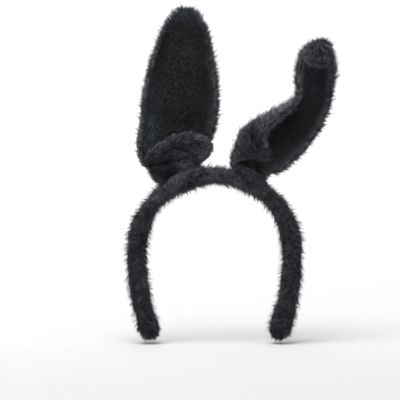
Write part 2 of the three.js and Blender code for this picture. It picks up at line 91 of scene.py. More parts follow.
EARS = {
    "left": {
        "band_angle": -27.0,
        "spine": [(-36.5, 2, 18), (-34.8, 3, 30), (-31, 4, 54), (-28, 4, 79), (-26.5, 3, 104),
                  (-25, 1.5, 129), (-24, -0.5, 145)],
        "left_width": [(0, 16), (0.05, 20.6), (0.1, 27.2), (0.15, 30.6), (0.3, 32.2), (0.45, 33.4),
                       (0.6, 31.2), (0.7, 28.2), (0.8, 24), (0.9, 19.5), (1, 16)],
        "right_width": [(0, 16), (0.05, 19), (0.1, 20.6), (0.15, 23), (0.2, 28.3), (0.3, 32.6), (0.4, 33.8),
                        (0.5, 33), (0.6, 30.8), (0.7, 27.8), (0.8, 24.2), (0.9, 20.5), (1, 17)],
        "left_curl": [(0, 30), (0.12, 62), (0.22, 58), (0.45, 50), (0.75, 50), (1, 40)],
        "right_curl": [(0, 30), (0.15, 60), (0.3, 74), (0.45, 74), (0.65, 70), (0.8, 60), (1, 45)],
        "left_bias": [(0, 2.2), (1, 2.2)],
        "right_bias": [(0, 2.6), (1, 2.6)],
        "left_depth": [(0, 1), (1, 1)],
        "right_depth": [(0, 1), (1, 1)],
        "tip_rounding": 0.86,
        "split": 0.22,
    },
    "right": {
        "band_angle": 22.2,
        "spine": [(32.5, 2, 19.2), (39, 3, 27.2), (48.3, 4, 36), (58.7, 4.5, 44.2), (66.7, 5, 52.2),
                  (74.5, 5, 60.5), (79.8, 5, 68), (82.8, 5, 78), (83.9, 5, 89), (85, 4, 98.5),
                  (86.8, 2, 108.8), (88.6, -2.5, 116), (88.6, -7.5, 116.8), (87.4, -11.8, 113.6),
                  (86.3, -14, 107.6), (85.8, -14, 101.5)],
        "left_width": [(0, 16), (0.05, 19.4), (0.1, 22.4), (0.15, 24.2), (0.2, 23.4), (0.3, 21.2),
                       (0.4, 17.4), (0.45, 14.8), (0.5, 14), (0.55, 15), (0.62, 16.6), (0.75, 16.8),
                       (0.8, 14.6), (0.84, 10.4), (0.88, 11.4), (0.92, 14.2), (1, 16.8)],
        "right_width": [(0, 17), (0.05, 19.6), (0.1, 24.2), (0.15, 25.4), (0.2, 26.2), (0.3, 25),
                        (0.4, 22.8), (0.45, 21.4), (0.5, 19.2), (0.56, 17.7), (0.75, 16.8), (0.8, 13.6),
                        (0.84, 9), (0.88, 10), (0.92, 12.4), (1, 14.8)],
        "left_curl": [(0, 60), (0.06, 155), (0.12, 198), (0.16, 196), (0.2, 184), (0.26, 172), (0.4, 150),
                      (0.5, 104), (0.6, 84), (0.8, 80), (1, 70)],
        "right_curl": [(0, 30), (0.15, 62), (0.4, 62), (0.6, 78), (0.8, 78), (1, 66)],
        "left_bias": [(0, 1.6), (0.06, 1.2), (0.12, 1.0), (0.16, 1.08), (0.2, 1.35), (0.26, 1.85),
                      (0.4, 2.1), (1, 2)],
        "right_bias": [(0, 2), (1, 2)],
        "left_depth": [(0, 0.6), (0.12, 0.5), (0.2, 0.62), (0.3, 0.9), (0.4, 1), (1, 1)],
        "right_depth": [(0, 1), (1, 1)],
        "tip_rounding": 0.9,
        "split": 0.26,
        # painted shade: the fur along this crease is painted darker
        "crease": (((30.6, 42.2), (36.4, 34.6)), 2.3),
    },
}

# ---- Numbers and lines ----

FINE_STEPS = 800


def profile(pairs, t):
    """Smooth values at t through (t, value) pairs."""
    at, value = np.array(pairs, float).T
    slope = np.gradient(value, at)
    after = np.clip(np.searchsorted(at, t, side="right"), 1, len(at) - 1)
    before = after - 1
    span = at[after] - at[before]
    x = np.clip((t - at[before]) / span, 0, 1)
    y = 1 - x
    bend = y * slope[before] - x * slope[after]
    return value[before] * y * y * (1 + 2 * x) + value[after] * x * x * (1 + 2 * y) + x * y * span * bend


def smoothstep(low, high, value):
    x = np.clip((value - low) / (high - low), 0, 1)
    return x * x * (3 - 2 * x)


def unit(vectors):
    return vectors / np.maximum(np.linalg.norm(vectors, axis=-1, keepdims=True), 1e-9)


def mix(a, b, share):
    return a + (b - a) * share


def bump(value, centre, width):
    return np.exp(-(((value - centre) / width) ** 2))


def drift(points, seed, scale):
    """Soft noise from -1 to 1 at points, from a few seeded waves about scale millimetres long."""
    waves = 7
    rng = np.random.default_rng(SEED + seed)
    directions = unit(rng.normal(size=(waves, 3))) * (2 * math.pi / scale)
    directions = directions * rng.uniform(0.6, 1.5, (waves, 1))
    phases = rng.uniform(0, 2 * math.pi, waves)
    return np.sin(points @ directions.T + phases).sum(-1) / math.sqrt(waves)


def run_length(points):
    """How far along the line each point lies."""
    return np.concatenate([[0], np.cumsum(np.linalg.norm(np.diff(points, axis=0), axis=1))])


def smooth_line(points, count):
    """Points and directions evenly spaced along a smooth line through the given points."""
    points = np.array(points, float)
    chord = run_length(points)
    fine = np.linspace(0, chord[-1], FINE_STEPS)
    line = np.stack([profile(list(zip(chord, column)), fine) for column in points.T], 1)
    length = run_length(line)
    even = np.linspace(0, length[-1], count)
    spaced = np.stack([np.interp(even, length, column) for column in line.T], 1)
    return spaced, unit(np.gradient(spaced, axis=0))


def band_frame(s):
    """Centres and outward directions at s millimetres along the band from the crown, +X side positive."""
    s = np.atleast_1d(np.asarray(s, float))
    along = np.abs(s)
    upper = along <= QUARTER
    angle = np.where(upper, along / BAND_RADIUS, (along - QUARTER) / LIMB_RADIUS)
    x = np.where(upper, np.sin(angle), np.cos(angle))
    z = np.where(upper, np.cos(angle), -np.sin(angle))
    out = np.stack([x, np.zeros_like(x), z], 1)
    centre = out * np.where(upper, BAND_RADIUS, LIMB_RADIUS)[:, None]
    centre[:, 0] += np.where(upper, 0, BAND_RADIUS - LIMB_RADIUS)
    centre[:, 2] += ARC_CENTRE_Z
    side = np.where(s < 0, -1.0, 1.0)
    out[:, 0] *= side
    centre[:, 0] *= side
    return centre, out


def ear_pivot(ear):
    s = BAND_RADIUS * math.radians(ear["band_angle"])
    centre, out = band_frame(s)
    return centre[0] + out[0] * (SLEEVE_HALF_THICKNESS + PIVOT_LIFT), out[0]


# ---- Meshes ----


def add_object(name, data):
    thing = bpy.data.objects.new(name, data)
    bpy.context.scene.collection.objects.link(thing)
    return thing


def new_mesh(name, points, faces, material):
    mesh = bpy.data.meshes.new(name)
    mesh.from_pydata((np.asarray(points) * MM).tolist(), [], faces)
    mesh.polygons.foreach_set("use_smooth", [True] * len(mesh.polygons))
    mesh.materials.append(material)
    mesh.update()
    return add_object(name, mesh)


def ring_faces(rows, size, loop=False):
    """Four-cornered faces between neighbouring rings of size points."""
    faces = []
    for row in range(rows if loop else rows - 1):
        above = (row + 1) % rows
        for i in range(size):
            j = (i + 1) % size
            faces.append((row * size + i, row * size + j, above * size + j, above * size + i))
    return faces


def tube(name, rings, material, loop=False):
    """A closed mesh through rings of points: capped at each end, or joined up in a loop."""
    rings = np.asarray(rings)
    rows, size, _ = rings.shape
    points = rings.reshape(-1, 3)
    faces = ring_faces(rows, size, loop)
    if not loop:
        points = np.concatenate([points, [rings[0].mean(0)], [rings[-1].mean(0)]])
        first, last = rows * size, rows * size + 1
        for i in range(size):
            j = (i + 1) % size
            faces.append((j, i, first))
            faces.append(((rows - 1) * size + i, (rows - 1) * size + j, last))
    piece = new_mesh(name, points, faces, material)
    face_outward(piece)
    return piece


def circles(side, front, count):
    """A circle of count points about each pair of directions."""
    turn = np.linspace(0, 2 * math.pi, count, endpoint=False)
    return side[:, None] * np.cos(turn)[None, :, None] + front[:, None] * np.sin(turn)[None, :, None]


def round_rings(line, radius, sides=8, loop=False):
    """Rings of a round tube along a line of points."""
    ahead = np.roll(line, -1, axis=0) - np.roll(line, 1, axis=0) if loop else np.gradient(line, axis=0)
    along = unit(ahead)
    side = unit(np.cross(along, [0.12, -1.0, 0.07]))
    other = np.cross(side, along)
    return line[:, None] + circles(side, other, sides) * radius


def face_outward(piece):
    """Turns every face over if the closed mesh is inside out."""
    mesh = piece.data
    mesh.calc_loop_triangles()
    points = np.array([v.co for v in mesh.vertices])
    corners = points[np.array([t.vertices[:] for t in mesh.loop_triangles])]
    volume = (corners[:, 0] * np.cross(corners[:, 1], corners[:, 2])).sum()
    if volume < 0:
        mesh.flip_normals()


def grid_normals(points, wrap):
    along = np.gradient(points, axis=0)
    if wrap:
        padded = np.concatenate([points[:, -1:], points, points[:, :1]], 1)
        across = np.gradient(padded, axis=1)[:, 1:-1]
    else:
        across = np.gradient(points, axis=1)
    return unit(np.cross(along, across))


# ---- Fur ----

STRAND_SHADES = [0.003, 0.0065, 0.0125, 0.022, 0.036, 0.057, 0.086, 0.125]
SHADE_STEP = 1 / 7  # strands go one shade lighter with each step
LIGHTEST = len(STRAND_SHADES) * SHADE_STEP - 0.001


class Grid:
    """A surface to grow fur on: points, outward normals and comb directions, all rows x columns."""

    def __init__(self, points, comb, wrap, outward_from=None):
        self.points = points
        self.normals = grid_normals(points, wrap)
        if outward_from is not None:
            inward = ((points - outward_from) * self.normals).sum(-1, keepdims=True) < 0
            self.normals = np.where(inward, -self.normals, self.normals)
        self.comb = comb
        self.wrap = wrap

    def scatter(self, density, rng):
        """Random places at density per square millimetre: points, normals, combs, rows and columns."""
        p = self.points
        right = np.roll(p, -1, axis=1) if self.wrap else p[:, 1:]
        here = p if self.wrap else p[:, :-1]
        area = np.linalg.norm(np.cross(right[:-1] - here[:-1], here[1:] - here[:-1]), axis=-1)
        count = int(area.sum() * density)
        picked = rng.choice(area.size, count, p=(area / area.sum()).ravel())
        row, column = np.divmod(picked, area.shape[1])
        u, v = rng.random((2, count, 1))
        following = (column + 1) % p.shape[1]

        def between(values):
            low = mix(values[row, column], values[row, following], u)
            high = mix(values[row + 1, column], values[row + 1, following], u)
            return mix(low, high, v)

        return between(p), unit(between(self.normals)), between(self.comb), row + v[:, 0], column + u[:, 0]


FRONT_LIMIT = -21.2  # the pile is pressed flat here, so that the part keeps its size


def gather(points, spacing, rng):
    """Which of a few chosen points, about spacing millimetres apart, each point is nearest to."""
    cells = np.floor((points - points.min(0)) / spacing).astype(int)
    _, first = np.unique(cells, axis=0, return_index=True)
    leaders = rng.permutation(first)
    tree = kdtree.KDTree(len(leaders))
    for place, leader in enumerate(leaders):
        tree.insert(points[leader] + rng.normal(size=3) * spacing * 0.2, place)
    tree.balance()
    nearest = np.array([tree.find(point)[1] for point in points])
    return leaders[nearest], nearest


STRAND_CURVE = 0.3  # how much further a strand's outer half leans along the comb


def grow(roots, normals, combs, rng, length=6.5, lay=0.6, width=0.38, mess=0.2,
         tuft=1.7, lock=4.2, pull=0.72, lock_pull=0.3):
    """Three points down each strand; tips are drawn together in tufts, and tufts in locks.

    lay is how far a strand lies down along its comb and mess how far it strays, tuft and lock are
    sizes in millimetres, and the pulls say how strongly tips draw together in them.
    """
    count = len(roots)
    jitter = rng.normal(size=(count, 3)) * mess
    start = unit(normals * (1 - lay) + combs * lay + jitter)
    bend = unit(start + combs * STRAND_CURVE + jitter * 0.5)
    leader, tufts = gather(roots, tuft, rng)
    head, locks = gather(roots, lock, rng)
    own = rng.uniform(0.8, 1.08, count)
    shared = rng.uniform(0.8, 1.15, tufts.max() + 1)[tufts]
    reach = (length * own * shared)[:, None]
    middle = roots + start * reach * 0.5
    tip = middle + bend * reach * 0.5
    towards = mix(tip, tip[head], lock_pull)
    strength = pull * rng.uniform(0.6, 1.15, count)[:, None]
    tip = mix(towards, towards[leader] + rng.normal(size=(count, 3)) * 0.22, strength)
    middle = mix(middle, middle[leader], strength * 0.45)
    thickness = width * rng.uniform(0.75, 1.25, count)
    lines = np.stack([roots - start * 0.6, middle, tip], 1)
    lines[..., 1] = np.maximum(lines[..., 1], FRONT_LIMIT)
    return lines, thickness, (tufts, locks)


# One strand is a three-sided cone: corners 0-2 at the root, 3-5 at the middle, and 6 is the tip.
CONE_FACES = [[0, 1, 4, 3], [1, 2, 5, 4], [2, 0, 3, 5], [3, 4, 6], [4, 5, 6], [5, 3, 6], [0, 2, 1]]
CONE_CORNERS = 7


def strands_mesh(name, lines, thickness, shade):
    """One closed three-sided cone along each strand, with its shade as a material slot."""
    count = len(lines)
    root, middle, tip = lines[:, 0], lines[:, 1], lines[:, 2]
    along = unit(tip - root)
    reference = np.where(np.abs(along[:, 2:]) < 0.8, [[0.0, 0.0, 1.0]], [[1.0, 0.0, 0.0]])
    side = unit(np.cross(along, reference))
    other = np.cross(along, side)
    corners = []
    for centre, scale in ((root, 0.5), (middle, 0.38)):
        for turn in (0, 2 * math.pi / 3, 4 * math.pi / 3):
            offset = side * math.cos(turn) + other * math.sin(turn)
            corners.append(centre + offset * (thickness * scale)[:, None])
    points = np.stack([*corners, tip], 1).reshape(-1, 3) * MM
    sizes = [len(face) for face in CONE_FACES]
    loops = (np.concatenate(CONE_FACES) + CONE_CORNERS * np.arange(count)[:, None]).ravel()
    starts = np.concatenate([[0], np.cumsum(np.tile(sizes, count))[:-1]])
    mesh = bpy.data.meshes.new(name)
    mesh.vertices.add(len(points))
    mesh.vertices.foreach_set("co", points.ravel())
    mesh.loops.add(len(loops))
    mesh.loops.foreach_set("vertex_index", loops)
    mesh.polygons.add(len(starts))
    mesh.polygons.foreach_set("loop_start", starts)
    mesh.polygons.foreach_set("loop_total", np.tile(sizes, count))
    slots = np.clip((shade / SHADE_STEP).astype(int), 0, len(STRAND_SHADES) - 1)
    mesh.polygons.foreach_set("material_index", np.repeat(slots, len(sizes)))
    mesh.polygons.foreach_set("use_smooth", np.ones(len(starts), bool))
    for material in strand_materials():
        mesh.materials.append(material)
    mesh.update(calc_edges=True)
    piece = add_object(name, mesh)
    return piece


PATCH_SIZE = 12.0  # how far apart patches of lighter and darker pile lie
CLOUD_SIZE = 24.0  # the same for the slower changes inside the ears


def shades(lines, rng, base, groups, spread=1.0, seed=0, clouds=0.0):
    """How light each strand is, from 0 to 1: soft patches, then by lock, by tuft and its own."""
    tufts, locks = groups
    patches = drift(lines[:, 0], 40 + seed, PATCH_SIZE)
    by_tuft = rng.normal(size=tufts.max() + 1)[tufts]
    by_lock = rng.normal(size=locks.max() + 1)[locks]
    own = rng.normal(size=len(lines))
    uneven = 0.12 * patches + 0.09 * by_lock + 0.17 * by_tuft + 0.06 * own
    slow = clouds * drift(lines[:, 0], 70 + seed, CLOUD_SIZE)
    return np.clip(base + spread * uneven + slow, 0, LIGHTEST)


def in_crease(lines, crease):
    """How deep in a crease each strand lies, from 0 to 1, as seen from the front: the mask for painted
    shade.
    """
    (start, end), width = crease
    start, end = np.array(start), np.array(end)
    middle = lines[:, 1][:, [0, 2]]
    along = np.clip(((middle - start) @ (end - start)) / ((end - start) @ (end - start)), 0, 1)
    apart = np.linalg.norm(middle - start - along[:, None] * (end - start), axis=1)
    return bump(apart, 0, width) * (lines[:, 1, 1] < 0)


MOST_STRANDS = 19000


def fur_pieces(name, lines, thickness, shade, settle):
    """Fur as pieces of at most MOST_STRANDS strands, each handed to settle. Fur as pieces
    small enough to keep every strand, each handed to settle.
    """
    parts = max(1, math.ceil(len(lines) / MOST_STRANDS))
    for part in range(parts):
        chosen = slice(part, None, parts)
        settle(strands_mesh(f"{name}_{part + 1}", lines[chosen], thickness[chosen], shade[chosen]))


# ---- Materials ----


def principled(name):
    material = bpy.data.materials.new(name)
    material.use_nodes = True
    return material, material.node_tree.nodes["Principled BSDF"]


def set_inputs(node, values):
    for name, value in values.items():
        node.inputs[name].default_value = value


def two_tones(material, shader, scale, dark, light):
    """Colours the shader between two tones by a noise, and returns the noise's node."""
    nodes, links = material.node_tree.nodes, material.node_tree.links
    noise, ramp = nodes.new("ShaderNodeTexNoise"), nodes.new("ShaderNodeValToRGB")
    noise.inputs["Scale"].default_value = scale
    ramp.color_ramp.elements[0].color = (*dark, 1)
    ramp.color_ramp.elements[1].color = (*light, 1)
    links.new(noise.outputs["Fac"], ramp.inputs["Fac"])
    links.new(ramp.outputs["Color"], shader.inputs["Base Color"])
    return noise


STRAND_SURFACE = {"Roughness": 0.62, "Specular IOR Level": 0.19, "Sheen Weight": 0.045,
                  "Sheen Roughness": 0.6}


@cache
def strand_materials():
    """Near-black fibre in a few shades, with the soft bloom that a pile has at a grazing angle."""
    materials = []
    for number, value in enumerate(STRAND_SHADES):
        material, shader = principled(f"fur_strand_{number + 1}")
        warmth = number / (len(STRAND_SHADES) - 1)
        red, blue = mix(0.62, 1.04, warmth), mix(1.38, 1.12, warmth)
        set_inputs(shader, {"Base Color": (value * red, value, value * blue, 1), **STRAND_SURFACE})
        materials.append(material)
    return materials


def fabric_material(name, dark, light, scale, depth):
    """Knitted backing: fine loops, and slow changes of shade."""
    material, shader = principled(name)
    nodes, links = material.node_tree.nodes, material.node_tree.links
    place = nodes.new("ShaderNodeTexCoord")
    slow = two_tones(material, shader, scale * 0.15, dark, light)
    loops = nodes.new("ShaderNodeTexVoronoi")
    loops.inputs["Scale"].default_value = scale
    bump_node = nodes.new("ShaderNodeBump")
    set_inputs(bump_node, {"Strength": 0.6, "Distance": depth})
    links.new(place.outputs["Object"], slow.inputs["Vector"])
    links.new(place.outputs["Object"], loops.inputs["Vector"])
    links.new(loops.outputs["Distance"], bump_node.inputs["Height"])
    links.new(bump_node.outputs["Normal"], shader.inputs["Normal"])
    shader.inputs["Roughness"].default_value = 0.95
    return material


# ---- The ears' surfaces ----

EAR_ROWS = 130
EAR_COLUMNS = 64
ACROSS = np.linspace(-1, 1, EAR_COLUMNS + 1)  # shares of the way from the middle to either rim
SKIN = 1.9  # half the thickness of the two backings together
HOLLOW = 0.8  # half the air between them
WAIST = 0.18  # how much narrower the neck is under its binding
BINDING_T = (0.068, 0.075, 0.082)  # heights of the binding's turns, as shares of the ear's length
LEAN_REACH = 5  # rows on either side over which the direction across the ear is evened out
THINNEST_TIP = 0.12  # how much of its width an ear keeps at its very end


def ear_frames(ear):
    """Places and directions up an ear: share of length, centre, up, across and front."""
    pivot, out = ear_pivot(ear)
    centre, up = smooth_line([pivot - out * 3.0, pivot, *ear["spine"]], EAR_ROWS)
    rising = np.maximum(up[:, 2], 0) + np.maximum(-up[:, 1], 0)
    lean = np.arctan2(up[:, 0], rising + 0.05)
    window = 2 * LEAN_REACH + 1
    lean = np.convolve(np.pad(lean, LEAN_REACH, mode="edge"), np.ones(window) / window, mode="valid")
    across = np.stack([np.cos(lean), np.zeros_like(lean), -np.sin(lean)], 1)
    across = unit(across - up * (across * up).sum(-1, keepdims=True))
    return np.linspace(0, 1, EAR_ROWS), centre, up, across, np.cross(across, up)


def ear_section(ear, t):
    """Across and forward offsets and tangent angles of the ear's middle layer, rows x columns."""
    left_half = ACROSS[None] < 0

    def by_side(what):
        left, right = profile(ear["left_" + what], t), profile(ear["right_" + what], t)
        return np.where(left_half, left[:, None], right[:, None])

    angle = np.radians(by_side("curl")) * np.sign(ACROSS) * np.abs(ACROSS) ** by_side("bias")
    step = ACROSS[1] - ACROSS[0]
    middle = EAR_COLUMNS // 2

    def total(values):
        pieces = (values[:, 1:] + values[:, :-1]) / 2 * step
        sums = np.concatenate([np.zeros((len(t), 1)), np.cumsum(pieces, 1)], 1)
        return sums - sums[:, middle : middle + 1]

    across, forward = total(np.cos(angle)), total(np.sin(angle))
    past = np.clip((t - ear["tip_rounding"]) / (1 - ear["tip_rounding"]), 0, 1)
    rounding = np.maximum(np.sqrt(np.maximum(1 - past**2, 0.0)), THINNEST_TIP)
    rounding *= 1 - WAIST * bump(t, BINDING_T[1], 0.02)
    extent = np.where(left_half, -across.min(1, keepdims=True), across.max(1, keepdims=True))
    scale = np.maximum(by_side("width") - PILE_REACH, 2) * rounding[:, None] / extent
    across = across * scale
    forward = forward * scale * by_side("depth")
    angle = np.arctan2(np.gradient(forward, axis=1), np.gradient(across, axis=1))
    return across, forward, angle


def ear_surface(ear, side, sculpt, lift=SKIN):
    """One face of the ear, rows x columns, lifted off its middle layer."""
    t, centre, _, across, front = ear_frames(ear)
    offset, forward, angle = ear_section(ear, t)
    q = ACROSS[None]
    raised = side * (lift * np.sqrt(np.clip(1 - q**4, 0, 1))) + sculpt(t[:, None], q)
    along = offset - raised * np.sin(angle)
    ahead = forward + raised * np.cos(angle)
    return centre[:, None] + across[:, None] * along[..., None] + front[:, None] * ahead[..., None]


def left_sculpt(t, q):
    """Gathers above the neck, a hollow beside the right rim, and soft unevenness."""
    gathers = 1.1 * np.cos(9 * q) * (1 - smoothstep(0.06, 0.3, t))
    hollow = -3.0 * bump(t, 0.31, 0.07) * bump(q, 0.35, 0.25)
    swell = 1.8 * bump(t, 0.42, 0.12) * bump(q, -0.4, 0.3) + 1.0 * bump(t, 0.62, 0.08) * bump(q, 0.1, 0.4)
    return gathers + hollow + swell


def right_sculpt(t, q):
    """Gathers above the neck, and a pinched crease in the left rim."""
    gathers = 1.1 * np.cos(8 * q + 1) * (1 - smoothstep(0.06, 0.25, t))
    crease = 3.2 * bump(t, 0.185, 0.022) * bump(q, -0.86, 0.1)
    return gathers + crease + 1.2 * bump(t, 0.11, 0.04) * bump(q, -0.4, 0.4)


def smooth_middle(t, q):
    """The ear's middle layer as the wire lies in it, without gathers or folds."""
    return np.zeros(np.broadcast(t, q).shape)


SCULPT = {"left": left_sculpt, "right": right_sculpt}
COMB_FAN = 0.9  # how far the pile turns from up the ear towards the rims


def ear_comb(ear):
    """Fur lies up the ear and fans out towards its rims."""
    _, _, up, across, _ = ear_frames(ear)
    outward = np.sign(ACROSS) * np.abs(ACROSS) ** 2 * COMB_FAN
    return unit(up[:, None] + across[:, None] * outward[None, :, None])


# ---- Settling pieces: their placement baked into their meshes ----


def settle_base(name):
    """Bakes a piece's placement into its mesh, for pieces at the ear's base, just above the base hinge."""
    pivot, out = ear_pivot(EARS[name])

    def settle(piece):
        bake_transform(piece)

    return settle


def settle_fold(name):
    """Bakes a piece's placement into its mesh, for pieces of the lower and upper ear about the fold."""
    _, centre, up, _, _ = ear_frames(EARS[name])

    def settle(piece):
        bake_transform(piece)

    return settle


def settle_arm():
    """Bakes a piece's placement into its mesh, for pieces of the sleeve from the crown down one arm."""

    def settle(piece):
        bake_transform(piece)

    return settle


# ---- Ears ----


def panel(name, surface, inner, rows, material):
    """A thin closed panel between an outer face and the ear's middle layer, joined along its edges."""
    rings = np.concatenate([surface[rows], inner[rows][:, -2:0:-1]], 1)
    count, size, _ = rings.shape
    faces = ring_faces(count, size)
    for start in (0, (count - 1) * size):
        for i in range(EAR_COLUMNS):
            behind = [size - place for place in (i + 1, i) if 0 < place < EAR_COLUMNS]
            corners = [start + place for place in (i, i + 1, *behind)]
            faces.append(corners if start else corners[::-1])
    piece = new_mesh(name, rings.reshape(-1, 3), faces, material)
    face_outward(piece)
    return piece


def build_ear(name, material):
    ear = EARS[name]
    split = int(round(ear["split"] * (EAR_ROWS - 1)))
    lower, upper = slice(0, split + 1), slice(split, EAR_ROWS)
    base, fold = settle_base(name), settle_fold(name)
    for label, side in (("front", 1), ("back", -1)):
        surface = ear_surface(ear, side, SCULPT[name])
        inner = ear_surface(ear, side, SCULPT[name], HOLLOW)
        neck = panel(f"{name}_ear_{label}_panel_neck", surface, inner, lower, material)
        blade = panel(f"{name}_ear_{label}_panel_blade", surface, inner, upper, material)
        for piece, settle, node in ((neck, base, "lower"), (blade, fold, "upper")):
            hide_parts(f"{name}_ear_{label}_{node}")
            settle(piece)
        grow_panel_fur(name, ear, label, side, surface, split, base, fold)
    grow_rim_fur(name, ear, split, base, fold)
    lay_wires(name, ear, base, fold)
    bind_neck(name, ear, base)


WIRE_RADIUS = 0.6
SEAM_RADIUS = 0.4
BINDING_RADIUS = 0.5
WIRE_Q = 0.8  # wire and seam, as shares of the way from the ear's middle to its rim
SEAM_Q = 0.97


def middle_line(ear, places, count=60):
    """A smooth line through (share of length, share of width) places on the ear's middle layer."""
    surface = ear_surface(ear, 1, smooth_middle, 0)
    rows = np.array([t for t, _ in places]) * (EAR_ROWS - 1)
    columns = (np.array([q for _, q in places]) + 1) / 2 * EAR_COLUMNS
    points = surface[np.round(rows).astype(int), np.round(columns).astype(int)]
    return smooth_line(points, count)[0]


def edge_places(start, end, q, count=7):
    return [(t, q) for t in np.linspace(start, end, count)]


def lay_wires(name, ear, base, fold):
    """The edge wire and the edge seams, each in a lower part and an upper part."""
    split = ear["split"]
    wire, thread = bpy.data.materials["annealed_wire"], bpy.data.materials["black_thread"]
    into_neck = [(0.12, 0.5), (0.07, 0.22), (0.02, 0.0), (0.07, -0.22), (0.12, -0.5)]
    wire_neck = edge_places(split, 0.16, WIRE_Q, 3) + into_neck + edge_places(0.16, split, -WIRE_Q, 3)
    over_tip = [(0.975, 0.5), (0.985, 0.0), (0.975, -0.5)]
    wire_blade = edge_places(split, 0.95, WIRE_Q) + over_tip + edge_places(0.95, split, -WIRE_Q)
    seam_right = edge_places(0.1, split, SEAM_Q, 5)
    seam_left = edge_places(0.1, split, -SEAM_Q, 5)
    seam_blade = edge_places(split, 0.98, SEAM_Q) + [(0.995, 0.0)] + edge_places(0.98, split, -SEAM_Q)
    right, left = ("inner", "outer") if name == "left" else ("outer", "inner")
    runs = [
        ("wire_neck", wire_neck, WIRE_RADIUS, wire, base, "wire_lower"),
        ("wire_blade", wire_blade, WIRE_RADIUS, wire, fold, "wire_upper"),
        ("seam_neck_right", seam_right, SEAM_RADIUS, thread, base, f"{right}_seam_lower"),
        ("seam_neck_left", seam_left, SEAM_RADIUS, thread, base, f"{left}_seam_lower"),
        ("seam_blade", seam_blade, SEAM_RADIUS, thread, fold, "seam_upper"),
    ]
    for label, places, radius, material, settle, node in runs:
        line = middle_line(ear, places, 24 if "neck" in label else 90)
        piece = tube(f"{name}_ear_{label}", round_rings(line, radius), material)
        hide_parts(f"{name}_ear_{node}")
        settle(piece)


def bind_neck(name, ear, base):
    """Three turns of thread round the gathered neck."""
    thread = bpy.data.materials["black_thread"]
    front = ear_surface(ear, 1, SCULPT[name], SKIN + BINDING_RADIUS)
    back = ear_surface(ear, -1, SCULPT[name], SKIN + BINDING_RADIUS)
    for number, t in enumerate(BINDING_T):
        row = int(round(t * (EAR_ROWS - 1)))
        line = np.concatenate([front[row], back[row][-2:0:-1]])
        rings = round_rings(line, BINDING_RADIUS, 6, loop=True)
        piece = tube(f"{name}_neck_binding_turn_{number + 1}", rings, thread, loop=True)
        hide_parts(f"{name}_neck_binding")
        base(piece)


INNER_LOOK = {"length": 6.2, "lay": 0.8, "width": 0.38, "mess": 0.1, "pull": 0.22, "lock_pull": 0.08}
OUTER_LOOK = {"length": 6.4, "lay": 0.6, "width": 0.38, "mess": 0.2}
RIM_LOOK = {"length": 6.0, "lay": 0.45, "mess": 0.26}
ROLL_LOOK = {"length": 5.8, "lay": 0.68, "mess": 0.14, "pull": 0.6}
SLEEVE_LOOK = {"lay": 0.52, "mess": 0.22, "pull": 0.55}
GUARD_LOOK = {"length": 9.2, "lay": 0.5, "width": 0.34, "mess": 0.12, "tuft": 1.8, "lock": 4.0,
              "pull": 0.92, "lock_pull": 0.1}

GUARD_STANDING = 0.4  # how far the guard hairs of the rims and the sleeve lie down

# Strands to the square millimetre. The rim's strip is narrow, so its fur is set closer.
PANEL_DENSITY = 3.4
RIM_DENSITY = 9.0
ROLL_DENSITY = 3.8
SLEEVE_DENSITY = 3.6
GUARD_DENSITY = 0.6

# How light each growth is, and how uneven, where 1 is the pile's full unevenness.
# painted sheen: the rim's fur, and its guard hairs, are lighter than the faces' pile
RIM_SHADE = 0.82
SLEEVE_SHADE = 0.74
GUARD_SHADES = {"back": 0.72, "rim": 0.78, "sleeve": 0.7}
INSIDE_UNEVENNESS = 0.26
ROLL_UNEVENNESS = 0.72
SLEEVE_UNEVENNESS = 0.65
GUARD_UNEVENNESS = 0.7
INSIDE_CLOUDS = 0.09

RIM_SCATTER = 0.35  # how far the rim's roots stray from its strip
CREASE_PAINTED_SHADE = 2.0


def with_guard_hairs(grid, rng, strands, base_shade, **look):
    """Adds a sparser, longer growth in pointed tufts that stands out past the pile."""
    roots, normals, combs, guard_row, _ = grid.scatter(GUARD_DENSITY, rng)
    guard, guard_thickness, groups = grow(roots, normals, combs, rng, **{**GUARD_LOOK, **look})
    guard_shade = shades(guard, rng, base_shade, groups, GUARD_UNEVENNESS)
    guards = guard, guard_thickness, guard_shade, guard_row
    return [np.concatenate(pair) for pair in zip(strands, guards)]


def left_inner_shade(t, q):
    """Dark inside, lighter at the tip and the right rim, and towards the bottom of the left one."""
    tip = 0.5 * smoothstep(0.8, 0.99, t)
    # painted sheen: lighter towards the right rim
    right = 0.52 * smoothstep(0.62, 0.92, q) * smoothstep(0.2, 0.34, t)
    left = 0.34 * smoothstep(-0.1, -0.8, q) * (1 - smoothstep(0.46, 0.66, t))
    # painted sheen: lighter along the left rim
    left = left + 0.18 * smoothstep(-0.7, -1, q)
    veil = 0.03 * smoothstep(0.5, 0.62, t) * (1 - smoothstep(0.1, 0.6, q))
    # painted shade: darker in the hollow above the roll and in the middle of the ear
    hollow = -0.1 * bump(t, 0.3, 0.07) * bump(q, 0.4, 0.35)
    hollow = hollow - 0.12 * bump(t, 0.52, 0.14) * bump(q, 0.1, 0.7)
    neck = 0.3 * (1 - smoothstep(0.08, 0.16, t))
    return 0.07 + tip + right + left + veil + hollow + neck


def right_inner_shade(t, q):
    """Dark inside, a little lighter above the bend, and painted sheen along the rims."""
    # painted sheen: lighter towards both rims
    rim = smoothstep(0.5, 1.0, np.abs(q))
    neck = 0.3 * (1 - smoothstep(0.08, 0.2, t))
    # painted sheen along the upper left rim
    strip = 0.2 * smoothstep(-0.5, -0.85, q) * smoothstep(0.45, 0.56, t)
    return 0.32 + 0.36 * rim + 0.3 * smoothstep(0.5, 0.75, t) + neck + strip


def left_outer_shade(t, _):
    return 0.74 + 0.08 * smoothstep(0.8, 0.95, t)


